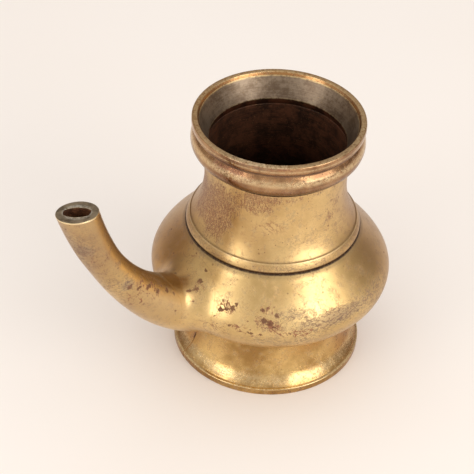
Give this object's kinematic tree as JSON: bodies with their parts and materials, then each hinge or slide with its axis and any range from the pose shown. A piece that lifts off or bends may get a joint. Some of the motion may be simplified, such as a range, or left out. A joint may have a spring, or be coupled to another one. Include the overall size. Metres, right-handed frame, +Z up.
{
  "type": "spouted water pot",
  "caption": "Footed brass water pot with a round belly, waisted neck, wide beaded mouth and a curved spout that ends in a slot.",
  "frame": {"origin": "on the ground under the middle of the whole outline; the body's own axis is 32.75 mm behind it, at x = -0.03275", "axes": "+Z up along the body's axis, +X from the body towards the spout, +Y to the left of the spout seen from the pot"},
  "size_m": [0.1906, 0.1246, 0.1414],
  "materials": {
    "brass_body": "worn satin with brown patina",
    "brass_neck": "worn satin, patches of red-brown patina",
    "brass_mouth": "turned satin, greyed inside",
    "braze": "dull, dark"
  },
  "bodies": {
    "root": {"body_bowl": "brass_body", "foot_ring": "brass_body", "foot_butt_seam": "braze", "foot_seam": "braze", "neck_collar": "brass_neck", "neck_seam": "braze", "mouth_ring": "brass_mouth", "mouth_seam": "braze", "spout": "brass_body", "spout_seam": "braze"}
  },
  "joints": []
}
